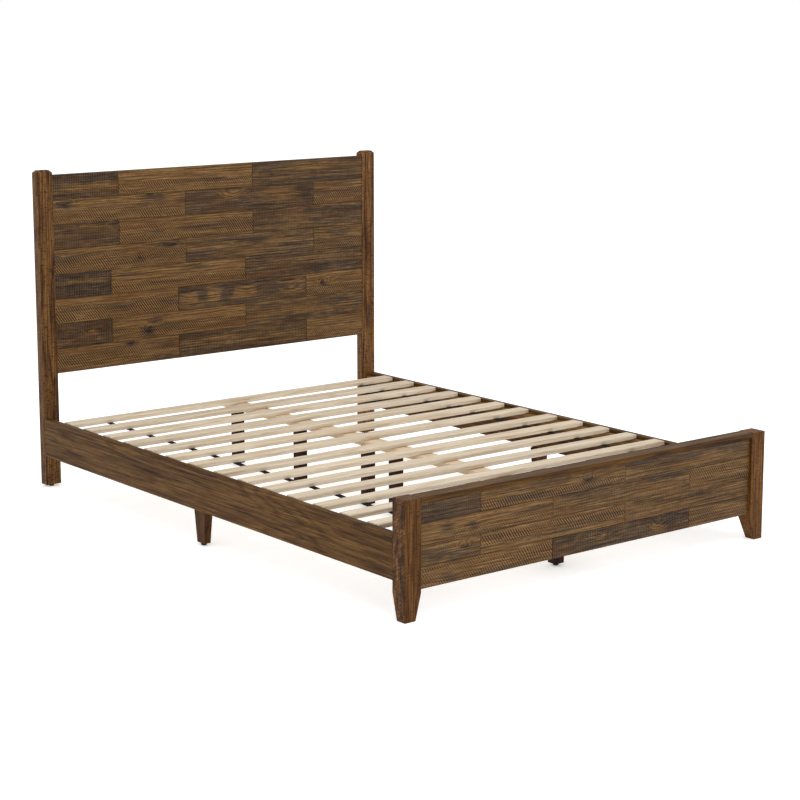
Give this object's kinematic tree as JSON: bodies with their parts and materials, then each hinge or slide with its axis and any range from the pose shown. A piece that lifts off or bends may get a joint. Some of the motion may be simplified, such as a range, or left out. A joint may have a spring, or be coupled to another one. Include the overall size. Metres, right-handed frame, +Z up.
{
  "type": "bed frame",
  "caption": "Wooden platform bed frame with a plank-panelled headboard, low plank footboard, side rails and strapped slats on a centre beam with support legs.",
  "frame": {"origin": "on the floor under the middle of the bed, halfway along and across its overall box", "axes": "+Z up, +Y from the footboard to the headboard along the side rails, +X across the bed to the right-hand rail seen from the footboard"},
  "size_m": [1.435, 2.02, 1.094],
  "materials": {
    "post_wood": "reddish-brown stained, distressed, satin",
    "plank_wood": "reclaimed-look planks from golden to dark grey brown with saw marks, satin",
    "batten_wood": "plain sawn and stained",
    "rail_wood": "mid-brown stained, satin",
    "cleat_wood": "plain sawn and stained",
    "slat_wood": "pale unfinished pine",
    "beam_wood": "unfinished pine",
    "support_leg_wood": "dark brown stained",
    "webbing": "woven polypropylene strap",
    "leveller_plastic": "matte black",
    "bracket_steel": "black powder coat",
    "fastener_steel": "zinc plated"
  },
  "bodies": {
    "frame": {"headboard_post_left": "post_wood", "headboard_post_right": "post_wood", "footboard_leg_left": "post_wood", "footboard_leg_right": "post_wood", "footboard_cap_rail": "post_wood", "headboard_plank_row_1": "plank_wood", "headboard_plank_row_2": "plank_wood", "headboard_plank_row_3": "plank_wood", "headboard_plank_row_4": "plank_wood", "headboard_plank_row_5": "plank_wood", "headboard_plank_row_6": "plank_wood", "headboard_plank_row_7": "plank_wood", "headboard_plank_row_8": "plank_wood", "footboard_plank_row_1": "plank_wood", "footboard_plank_row_2": "plank_wood", "footboard_plank_row_3": "plank_wood", "footboard_plank_row_4": "plank_wood", "headboard_battens": "batten_wood", "footboard_battens": "batten_wood", "side_rail_left": "rail_wood", "side_rail_right": "rail_wood", "slat_cleat_left": "cleat_wood", "slat_cleat_right": "cleat_wood", "centre_beam_head_half": "beam_wood", "centre_beam_foot_half": "beam_wood", "centre_legs_head_half": "support_leg_wood", "centre_legs_foot_half": "support_leg_wood", "rail_leg_left": "support_leg_wood", "rail_leg_right": "support_leg_wood", "rail_corner_brackets": "bracket_steel", "centre_beam_joining_plate": "bracket_steel", "bracket_bolts": "fastener_steel", "wood_screws": "fastener_steel", "leg_hanger_bolts": "fastener_steel"},
    "slat_roll_head": {"slat_head_roll_1": "slat_wood", "slat_head_roll_2": "slat_wood", "slat_head_roll_3": "slat_wood", "slat_head_roll_4": "slat_wood", "slat_head_roll_5": "slat_wood", "slat_head_roll_6": "slat_wood", "slat_head_roll_7": "slat_wood", "slat_straps_head_roll": "webbing"},
    "slat_roll_foot": {"slat_foot_roll_1": "slat_wood", "slat_foot_roll_2": "slat_wood", "slat_foot_roll_3": "slat_wood", "slat_foot_roll_4": "slat_wood", "slat_foot_roll_5": "slat_wood", "slat_foot_roll_6": "slat_wood", "slat_foot_roll_7": "slat_wood", "slat_straps_foot_roll": "webbing"},
    "centre_leveller_1_foot": {"centre_leveller_1": "leveller_plastic"},
    "centre_leveller_2_foot": {"centre_leveller_2": "leveller_plastic"},
    "centre_leveller_3_foot": {"centre_leveller_3": "leveller_plastic"},
    "centre_leveller_4_foot": {"centre_leveller_4": "leveller_plastic"},
    "centre_leveller_5_foot": {"centre_leveller_5": "leveller_plastic"},
    "centre_leveller_6_foot": {"centre_leveller_6": "leveller_plastic"},
    "rail_leveller_left_foot": {"rail_leveller_left": "leveller_plastic"},
    "rail_leveller_right_foot": {"rail_leveller_right": "leveller_plastic"},
    "post_leveller_left_foot": {"post_leveller_left": "leveller_plastic"},
    "post_leveller_right_foot": {"post_leveller_right": "leveller_plastic"}
  },
  "joints": [
    {"name": "head_slat_roll_lift", "type": "slide", "parent": "frame", "child": "slat_roll_head", "axis": [0, 0, 1], "range_m": [0, 0.3]},
    {"name": "foot_slat_roll_lift", "type": "slide", "parent": "frame", "child": "slat_roll_foot", "axis": [0, 0, 1], "range_m": [0, 0.3]},
    {"name": "centre_leveller_1_travel", "type": "slide", "parent": "frame", "child": "centre_leveller_1_foot", "axis": [0, 0, -1], "range_m": [0, 0.01]},
    {"name": "centre_leveller_2_travel", "type": "slide", "parent": "frame", "child": "centre_leveller_2_foot", "axis": [0, 0, -1], "range_m": [0, 0.01]},
    {"name": "centre_leveller_3_travel", "type": "slide", "parent": "frame", "child": "centre_leveller_3_foot", "axis": [0, 0, -1], "range_m": [0, 0.01]},
    {"name": "centre_leveller_4_travel", "type": "slide", "parent": "frame", "child": "centre_leveller_4_foot", "axis": [0, 0, -1], "range_m": [0, 0.01]},
    {"name": "centre_leveller_5_travel", "type": "slide", "parent": "frame", "child": "centre_leveller_5_foot", "axis": [0, 0, -1], "range_m": [0, 0.01]},
    {"name": "centre_leveller_6_travel", "type": "slide", "parent": "frame", "child": "centre_leveller_6_foot", "axis": [0, 0, -1], "range_m": [0, 0.01]},
    {"name": "rail_leveller_left_travel", "type": "slide", "parent": "frame", "child": "rail_leveller_left_foot", "axis": [0, 0, -1], "range_m": [0, 0.01]},
    {"name": "rail_leveller_right_travel", "type": "slide", "parent": "frame", "child": "rail_leveller_right_foot", "axis": [0, 0, -1], "range_m": [0, 0.01]},
    {"name": "post_leveller_left_travel", "type": "slide", "parent": "frame", "child": "post_leveller_left_foot", "axis": [0, 0, -1], "range_m": [0, 0.01]},
    {"name": "post_leveller_right_travel", "type": "slide", "parent": "frame", "child": "post_leveller_right_foot", "axis": [0, 0, -1], "range_m": [0, 0.01]}
  ]
}
